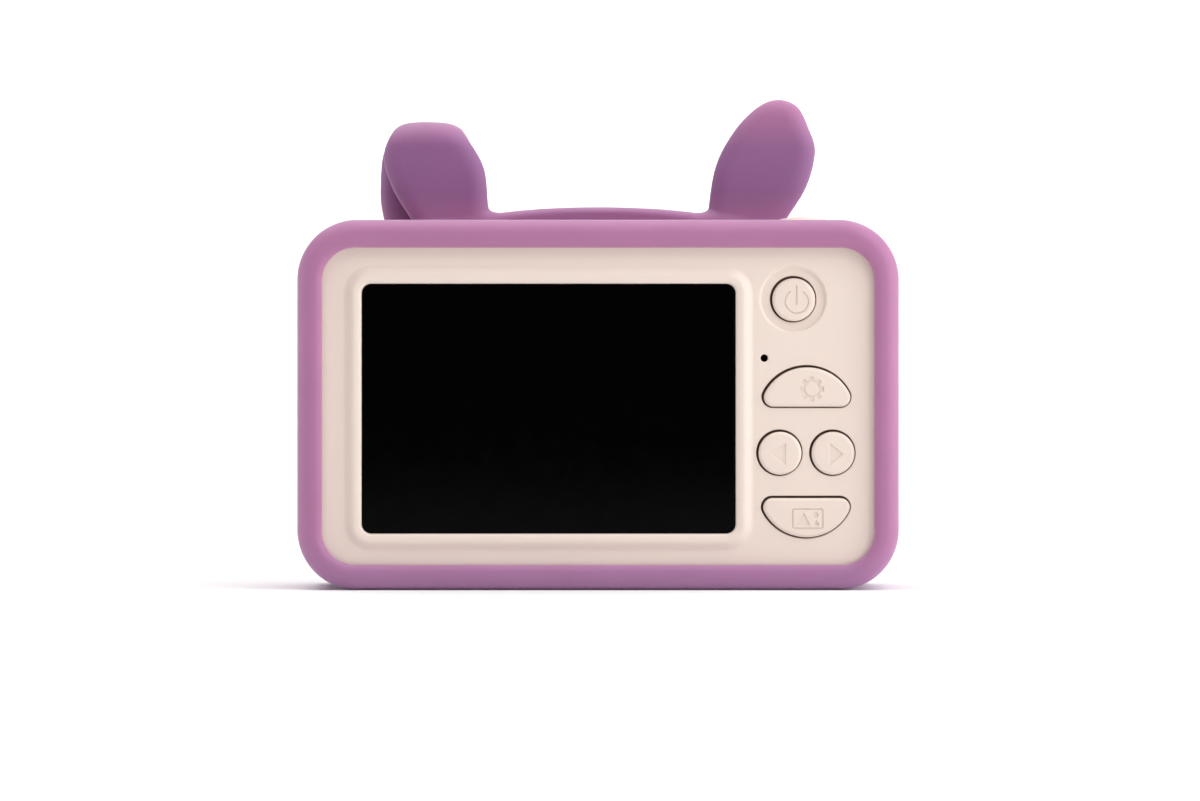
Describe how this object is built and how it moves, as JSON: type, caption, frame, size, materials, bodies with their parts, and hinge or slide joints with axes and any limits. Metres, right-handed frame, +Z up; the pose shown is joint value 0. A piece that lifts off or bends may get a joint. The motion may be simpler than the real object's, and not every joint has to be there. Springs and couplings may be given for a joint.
{
  "type": "kids digital camera",
  "caption": "Compact toy camera with a rear screen and push buttons, held in a soft silicone cover with animal ears.",
  "frame": {"origin": "middle of the bounding box at the base, on the surface the camera stands on", "axes": "+Z up; the screen faces -Y and the lens faces +Y; +X is to the right when looking at the screen"},
  "size_m": [0.1, 0.036, 0.0833],
  "materials": {
    "silicone": "soft matt silicone, slightly translucent",
    "cream_shell": "fine matt moulded plastic",
    "cream_caps": "fine matt moulded plastic with raised symbols",
    "screen_black": "polished black window",
    "dark_tape": "thin black adhesive tape",
    "foam": "closed-cell foam",
    "lcd_glass": "polarised display glass",
    "backlight": "pressed tray",
    "flex_amber": "flat cable film",
    "switch_black": "switch plunger",
    "switch_metal": "switch cover plate",
    "board_green": "solder mask",
    "chip_black": "moulded chip package",
    "gold_can": "plated can",
    "connector_ivory": "connector body",
    "port_metal": "folded port shell",
    "card_black": "memory card",
    "battery_foil": "foil pouch",
    "white_tape": "foam tape",
    "wire_red": "insulated wires",
    "wire_black": "insulated wires",
    "speaker_black": "speaker basket",
    "led_yellow": "light emitter",
    "flash_clear": "frosted diffuser",
    "sensor_glass": "sensor cover glass",
    "holder_black": "lens holder",
    "barrel_black": "lens barrel",
    "lens_glass": "coated lens",
    "front_glass": "clear cover window",
    "ring_cream": "smooth lens ring",
    "steel": "zinc-plated screws"
  },
  "bodies": {
    "camera": {"silicone_cover": "silicone", "rear_shell": "cream_shell", "front_shell": "cream_shell", "screen_window": "screen_black", "window_tape": "dark_tape", "lcd_gasket": "foam", "lcd_panel": "lcd_glass", "lcd_backlight": "backlight", "lcd_flex": "flex_amber", "rear_switches": "switch_metal", "shutter_switch": "switch_metal", "shutter_board": "board_green", "main_board": "board_green", "processor": "chip_black", "memory_chip": "chip_black", "microphone": "gold_can", "board_connectors": "connector_ivory", "usb_port": "port_metal", "card_socket": "port_metal", "battery_cell": "battery_foil", "battery_tape": "white_tape", "battery_lead": "wire_red", "speaker_unit": "speaker_black", "speaker_lead": "wire_black", "flash_board": "board_green", "flash_led": "led_yellow", "flash_window": "flash_clear", "sensor_board": "board_green", "image_sensor": "sensor_glass", "sensor_flex": "flex_amber", "lens_holder": "holder_black", "lens_barrel": "barrel_black", "front_element": "lens_glass", "middle_element": "lens_glass", "rear_element": "lens_glass", "lens_window": "front_glass", "lens_ring": "ring_cream", "case_screws": "steel", "board_screws": "steel", "module_screws": "steel"},
    "power_button": {"power_cap": "cream_caps", "power_plunger": "switch_black"},
    "settings_button": {"settings_cap": "cream_caps", "settings_plunger": "switch_black"},
    "left_button": {"left_cap": "cream_caps", "left_plunger": "switch_black"},
    "right_button": {"right_cap": "cream_caps", "right_plunger": "switch_black"},
    "gallery_button": {"gallery_cap": "cream_caps", "gallery_plunger": "switch_black"},
    "shutter_button": {"shutter_cap": "cream_caps", "shutter_plunger": "switch_black"},
    "card": {"memory_card": "card_black"}
  },
  "joints": [
    {"name": "power_press", "type": "slide", "parent": "camera", "child": "power_button", "axis": [0, 1, 0], "range_m": [0, 0.0005], "stiffness_N_per_m": 1500, "springref_m": -0.0003},
    {"name": "settings_press", "type": "slide", "parent": "camera", "child": "settings_button", "axis": [0, 1, 0], "range_m": [0, 0.0005], "stiffness_N_per_m": 1500, "springref_m": -0.0003},
    {"name": "left_press", "type": "slide", "parent": "camera", "child": "left_button", "axis": [0, 1, 0], "range_m": [0, 0.0005], "stiffness_N_per_m": 1500, "springref_m": -0.0003},
    {"name": "right_press", "type": "slide", "parent": "camera", "child": "right_button", "axis": [0, 1, 0], "range_m": [0, 0.0005], "stiffness_N_per_m": 1500, "springref_m": -0.0003},
    {"name": "gallery_press", "type": "slide", "parent": "camera", "child": "gallery_button", "axis": [0, 1, 0], "range_m": [0, 0.0005], "stiffness_N_per_m": 1500, "springref_m": -0.0003},
    {"name": "shutter_press", "type": "slide", "parent": "camera", "child": "shutter_button", "axis": [0, 0, -1], "range_m": [0, 0.0005], "stiffness_N_per_m": 1500, "springref_m": -0.0003},
    {"name": "card_slide", "type": "slide", "parent": "camera", "child": "card", "axis": [-1, 0, 0], "range_m": [0, 0.012]}
  ]
}
